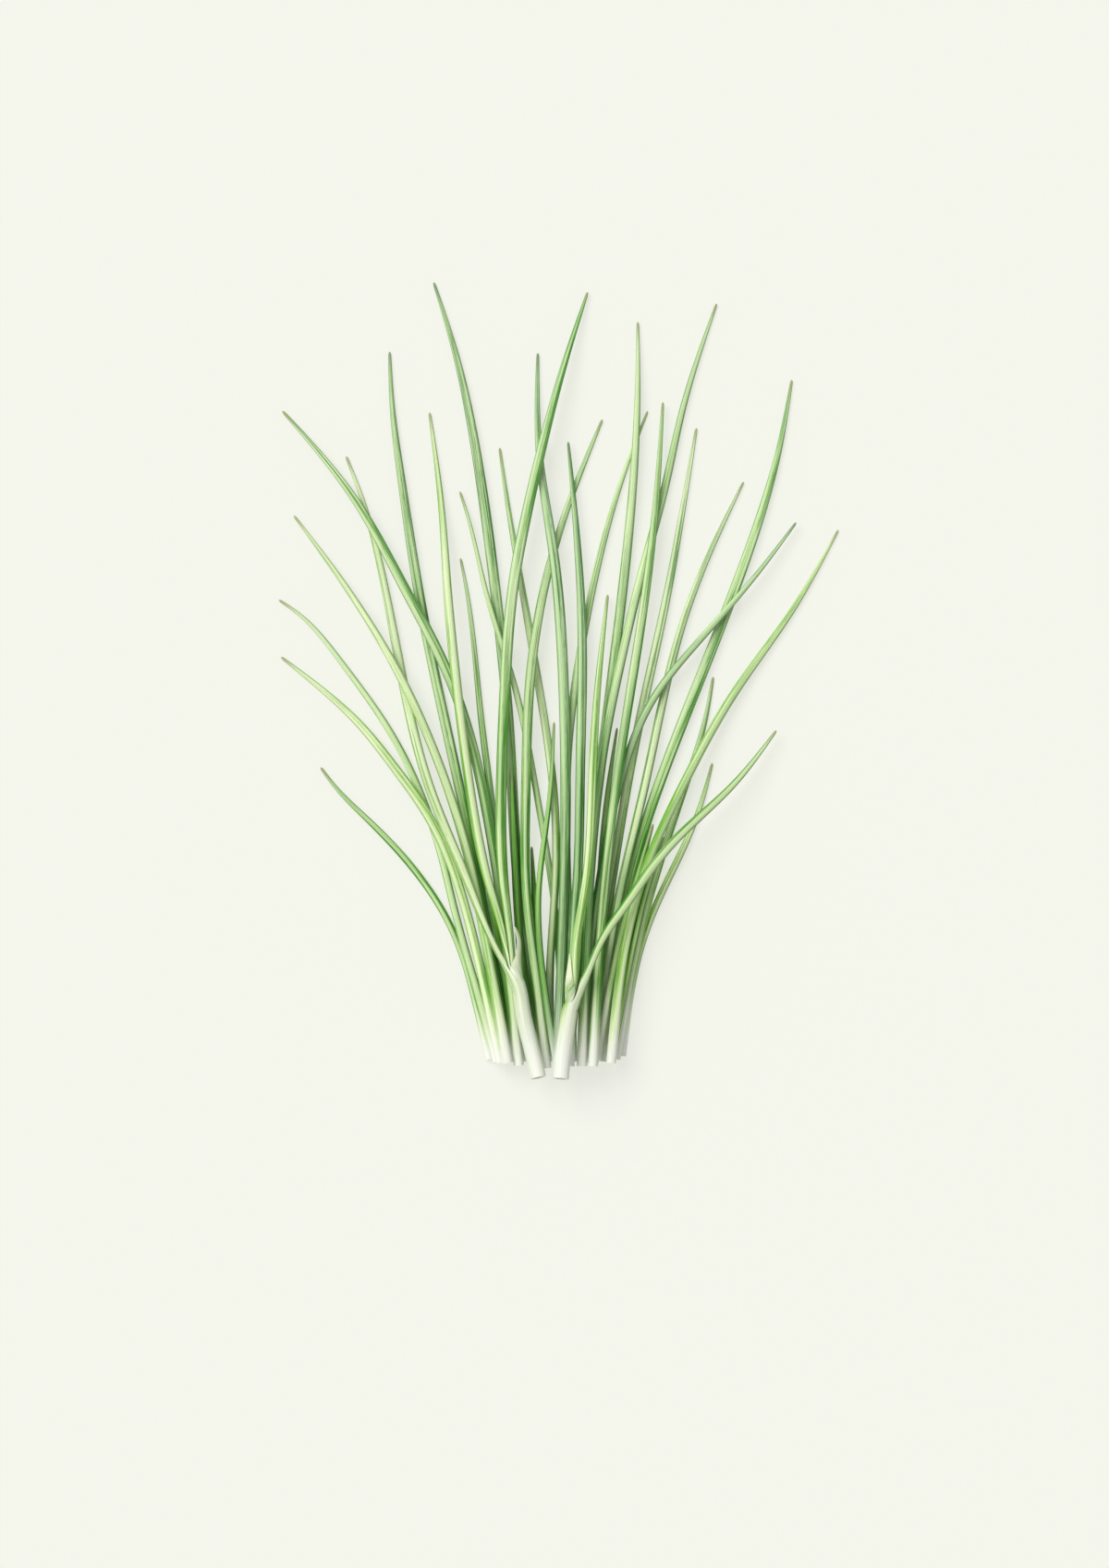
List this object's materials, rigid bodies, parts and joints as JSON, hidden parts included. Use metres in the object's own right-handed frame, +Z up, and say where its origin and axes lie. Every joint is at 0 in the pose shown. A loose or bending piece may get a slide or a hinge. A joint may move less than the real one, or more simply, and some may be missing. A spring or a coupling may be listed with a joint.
{
  "type": "chive bunch",
  "caption": "Loose fan of cut chive leaves lying flat, with two pale sheathed tillers on top at the foot.",
  "frame": {"origin": "middle of the fan's outline, on the surface that the bunch lies on", "axes": "+Y from the cut ends towards the tips, +X to the right of the fan seen from above, +Z up, away from the surface"},
  "size_m": [0.1984, 0.2812, 0.0233],
  "materials": {
    "fresh_green_leaf": "satin",
    "yellow_green_leaf": "satin",
    "blue_green_leaf": "satin",
    "deep_green_leaf": "satin",
    "sheathing_leaf": "satin"
  },
  "bodies": {
    "root": {"back_leaf_a": "deep_green_leaf", "back_leaf_b": "deep_green_leaf", "back_leaf_c": "deep_green_leaf", "back_leaf_d": "deep_green_leaf", "back_leaf_e": "deep_green_leaf", "back_leaf_f": "deep_green_leaf", "leaf_01": "blue_green_leaf", "leaf_03": "fresh_green_leaf", "leaf_04": "fresh_green_leaf", "leaf_05": "blue_green_leaf", "leaf_06": "blue_green_leaf", "leaf_08": "fresh_green_leaf", "leaf_10": "fresh_green_leaf", "leaf_11": "fresh_green_leaf", "leaf_12": "fresh_green_leaf", "leaf_13": "fresh_green_leaf", "leaf_14": "fresh_green_leaf", "leaf_15": "blue_green_leaf", "leaf_16": "fresh_green_leaf", "leaf_17": "fresh_green_leaf", "leaf_18": "fresh_green_leaf", "leaf_19": "fresh_green_leaf", "leaf_20": "blue_green_leaf", "leaf_21": "yellow_green_leaf", "leaf_22": "yellow_green_leaf", "leaf_23": "fresh_green_leaf", "leaf_24": "yellow_green_leaf", "leaf_25": "fresh_green_leaf", "leaf_27": "fresh_green_leaf", "leaf_28": "fresh_green_leaf", "leaf_30": "fresh_green_leaf", "left_heart_leaf": "fresh_green_leaf", "left_inner_leaf": "yellow_green_leaf", "left_outer_leaf": "sheathing_leaf", "right_inner_leaf": "yellow_green_leaf", "right_outer_leaf": "sheathing_leaf"}
  },
  "joints": []
}
